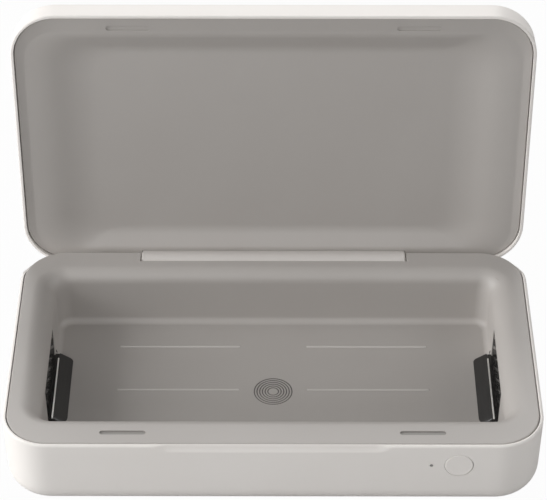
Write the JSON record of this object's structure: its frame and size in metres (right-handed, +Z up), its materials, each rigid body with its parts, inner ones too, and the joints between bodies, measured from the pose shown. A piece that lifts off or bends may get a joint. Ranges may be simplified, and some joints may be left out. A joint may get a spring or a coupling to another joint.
{
  "type": "ultraviolet phone sanitizer box",
  "caption": "Low rounded box with a hinged lid, a deep grey chamber with an ultraviolet lamp in each end wall, a charging coil under its floor and a push button on the front.",
  "frame": {"origin": "middle of the underside, on the plane that the rest ring stands on", "axes": "+X to the right of someone facing the button, +Y to the hinge at the rear, +Z up"},
  "size_m": [0.228, 0.1557, 0.1537],
  "materials": {
    "white_shell": "fine matt moulding, warm white",
    "grey_liner": "satin warm grey moulding",
    "foot_rubber": "soft grey silicone",
    "black_plastic": "black satin moulding",
    "bright_metal": "polished aluminium",
    "steel": "plated steel",
    "magnet": "nickel plate",
    "copper": "enamelled copper winding",
    "ferrite": "dark sintered sheet",
    "circuit_board": "green solder mask",
    "chip_black": "moulded epoxy",
    "clear_glass": "clear quartz",
    "clear_plastic": "clear light guide",
    "ceramic": "off-white ceramic",
    "cable_white": "soft insulation",
    "bearing_plastic": "natural acetal"
  },
  "bodies": {
    "base": {"base_shell": "white_shell", "base_liner": "grey_liner", "foot_ring": "foot_rubber", "case_screws": "steel", "hinge_pins": "steel", "latch_magnets": "magnet", "charger_coil": "copper", "ferrite_sheet": "ferrite", "main_board": "circuit_board", "board_components": "chip_black", "board_screws": "steel", "power_board": "circuit_board", "power_cable": "cable_white", "usb_socket": "steel", "usb_tongue": "black_plastic", "button_board": "circuit_board", "button_ribbon": "cable_white", "tact_switch": "chip_black", "status_led": "ceramic", "light_pipe": "clear_plastic", "lid_sensor": "chip_black", "lamp_guard_left": "black_plastic", "lamp_trim_left": "bright_metal", "lamp_housing_left": "black_plastic", "lamp_reflector_left": "bright_metal", "lamp_tube_left": "clear_glass", "lamp_caps_left": "ceramic", "lamp_cable_left": "cable_white", "lamp_guard_right": "black_plastic", "lamp_trim_right": "bright_metal", "lamp_housing_right": "black_plastic", "lamp_reflector_right": "bright_metal", "lamp_tube_right": "clear_glass", "lamp_caps_right": "ceramic", "lamp_cable_right": "cable_white"},
    "button": {"button_cap": "white_shell", "switch_plunger": "chip_black"},
    "lid": {"lid_shell": "white_shell", "lid_liner": "grey_liner", "hinge_barrel": "grey_liner", "hinge_bushes": "bearing_plastic", "hinge_screws": "steel", "lid_magnets": "magnet", "sensor_magnet": "magnet"}
  },
  "joints": [
    {"name": "lid_hinge", "type": "hinge", "parent": "base", "child": "lid", "pos_m": [0, 0.06135, 0.02946], "axis": [1, 0, 0], "range_deg": [0, 94.8]},
    {"name": "button_press", "type": "slide", "parent": "base", "child": "button", "axis": [0, 1, 0], "range_m": [0, 0.0006], "stiffness_N_per_m": 1500, "springref_m": -0.0004}
  ]
}
